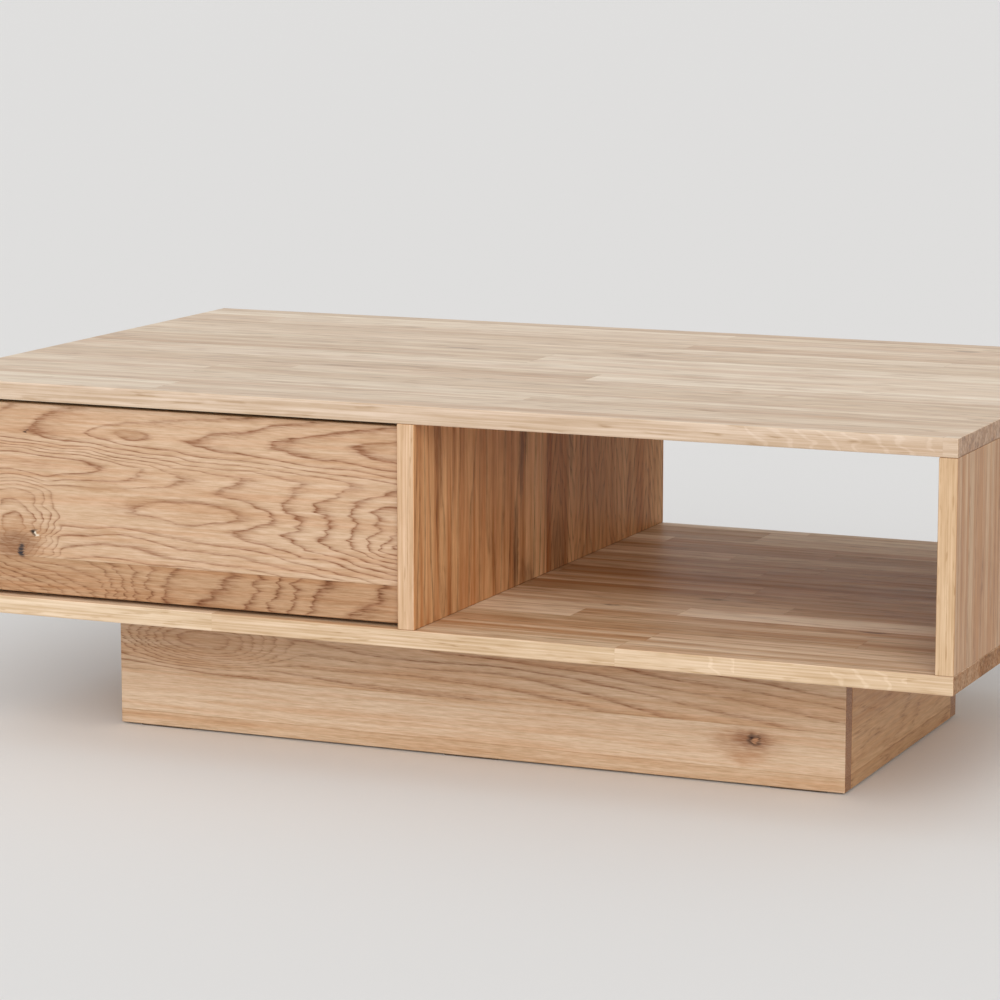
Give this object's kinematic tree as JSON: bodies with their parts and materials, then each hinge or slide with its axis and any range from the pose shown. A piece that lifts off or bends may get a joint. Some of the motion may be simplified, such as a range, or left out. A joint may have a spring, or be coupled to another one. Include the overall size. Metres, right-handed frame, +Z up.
{
  "type": "coffee table",
  "caption": "Low oak coffee table: a flat box on a recessed plinth, with an inset push-to-open drawer on telescopic runners beside an open through bay.",
  "frame": {"origin": "on the floor, under the middle of the table", "axes": "+X along the table to the right as seen from the drawer's side, +Y to the back, +Z up"},
  "size_m": [1.1, 0.68, 0.38],
  "materials": {
    "oiled_oak": "oiled, edge-glued solid oak",
    "beech": "planed, unfinished",
    "drawer_box_wood": "clear-lacquered pale wood",
    "drawer_plywood": "clear-lacquered birch plywood",
    "felt": "pressed felt",
    "zinc_plated_steel": "zinc plated, rolled",
    "bearing_steel": "polished",
    "screw_steel": "zinc plated",
    "latch_plastic": "moulded"
  },
  "bodies": {
    "carcass": {"top_board": "oiled_oak", "bottom_board": "oiled_oak", "left_side_panel": "oiled_oak", "right_side_panel": "oiled_oak", "centre_partition": "oiled_oak", "bay_back_panel": "oiled_oak", "plinth_front_board": "oiled_oak", "plinth_back_board": "oiled_oak", "plinth_left_board": "oiled_oak", "plinth_right_board": "oiled_oak", "carcass_dowels": "beech", "plinth_dowels": "beech", "plinth_block_front_left": "beech", "plinth_block_back_left": "beech", "plinth_block_front_right": "beech", "plinth_block_back_right": "beech", "plinth_screws": "screw_steel", "floor_glides": "felt", "left_cabinet_rail": "zinc_plated_steel", "right_cabinet_rail": "zinc_plated_steel", "left_push_latch": "latch_plastic", "right_push_latch": "latch_plastic", "cabinet_rail_screws": "screw_steel"},
    "drawer": {"drawer_front": "oiled_oak", "drawer_box_front": "drawer_box_wood", "drawer_box_back": "drawer_box_wood", "drawer_left_side": "drawer_box_wood", "drawer_right_side": "drawer_box_wood", "drawer_bottom": "drawer_plywood", "drawer_front_screws": "screw_steel", "left_drawer_rail": "zinc_plated_steel", "right_drawer_rail": "zinc_plated_steel", "drawer_rail_screws": "screw_steel", "left_latch_striker": "zinc_plated_steel", "right_latch_striker": "zinc_plated_steel"},
    "middle_rails": {"left_middle_rail": "zinc_plated_steel", "right_middle_rail": "zinc_plated_steel"},
    "outer_ball_cages": {"left_outer_ball_cage": "zinc_plated_steel", "right_outer_ball_cage": "zinc_plated_steel", "left_outer_balls": "bearing_steel", "right_outer_balls": "bearing_steel"},
    "inner_ball_cages": {"left_inner_ball_cage": "zinc_plated_steel", "right_inner_ball_cage": "zinc_plated_steel", "left_inner_balls": "bearing_steel", "right_inner_balls": "bearing_steel"}
  },
  "joints": [
    {"name": "drawer_slide", "type": "slide", "parent": "carcass", "child": "drawer", "axis": [0, -1, 0], "range_m": [-0.003, 0.45]},
    {"name": "middle_rail_slide", "type": "slide", "parent": "carcass", "child": "middle_rails", "axis": [0, -1, 0], "range_m": [-0.0015, 0.225]},
    {"name": "outer_cage_slide", "type": "slide", "parent": "carcass", "child": "outer_ball_cages", "axis": [0, -1, 0], "range_m": [-0.00075, 0.1125]},
    {"name": "inner_cage_slide", "type": "slide", "parent": "carcass", "child": "inner_ball_cages", "axis": [0, -1, 0], "range_m": [-0.00225, 0.3375]}
  ],
  "couplings": [
    {"joint": "middle_rail_slide", "follows": "drawer_slide", "ratio": 0.5},
    {"joint": "outer_cage_slide", "follows": "drawer_slide", "ratio": 0.25},
    {"joint": "inner_cage_slide", "follows": "drawer_slide", "ratio": 0.75}
  ]
}
